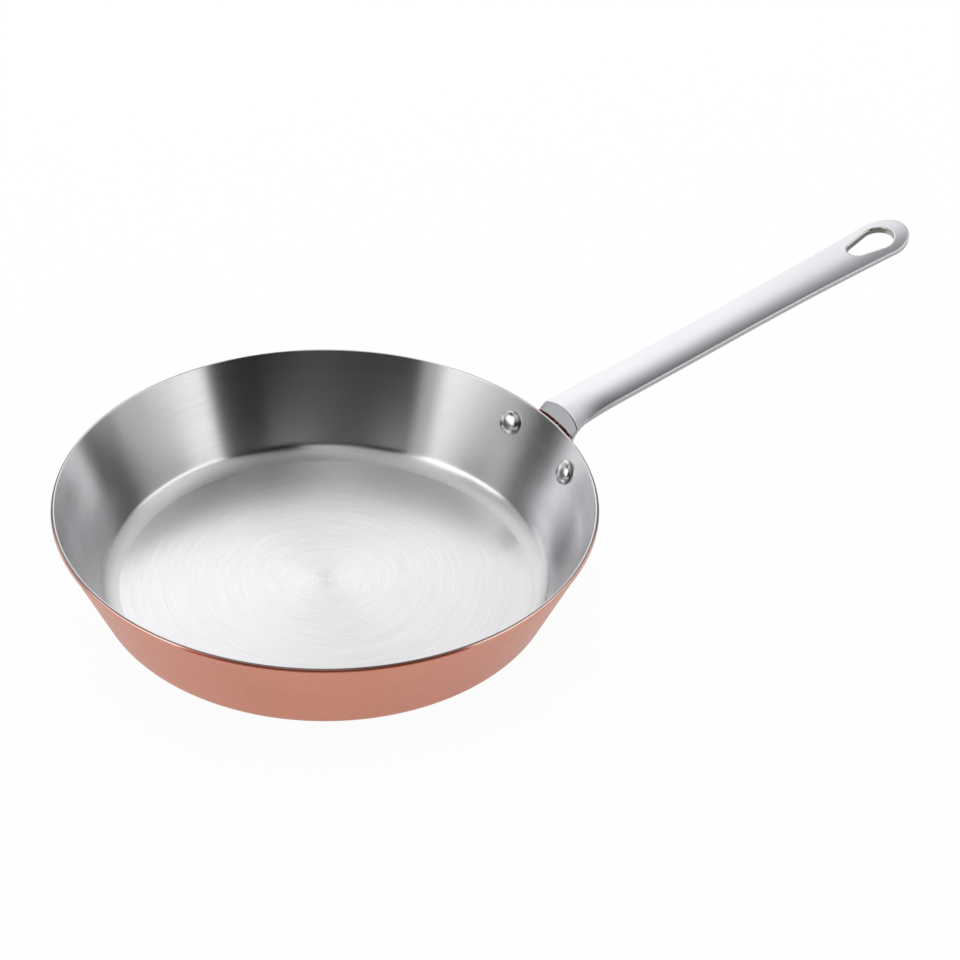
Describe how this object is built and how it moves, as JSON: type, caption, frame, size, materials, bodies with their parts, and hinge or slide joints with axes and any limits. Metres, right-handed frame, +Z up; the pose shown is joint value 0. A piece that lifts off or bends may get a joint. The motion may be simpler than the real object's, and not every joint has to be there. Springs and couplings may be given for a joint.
{
  "type": "frying pan",
  "caption": "Shallow round frying pan with a copper outside, a brushed steel inside, flared walls and a long riveted steel handle with a hang hole at its tip.",
  "frame": {"origin": "centre of the flat base, on the surface that the pan stands on", "axes": "+Z up out of the pan, +X from the pan's centre out along the handle"},
  "size_m": [0.4822, 0.266, 0.1058],
  "materials": {
    "copper": "satin copper, turned all round",
    "core": "cut edge, seen only in the rim",
    "liner": "brushed round the axis",
    "handle": "polished casting",
    "rivet": "polished"
  },
  "bodies": {
    "root": {"copper_shell": "copper", "aluminium_core": "core", "steel_liner": "liner", "handle": "handle", "rivet_left": "rivet", "rivet_right": "rivet"}
  },
  "joints": []
}
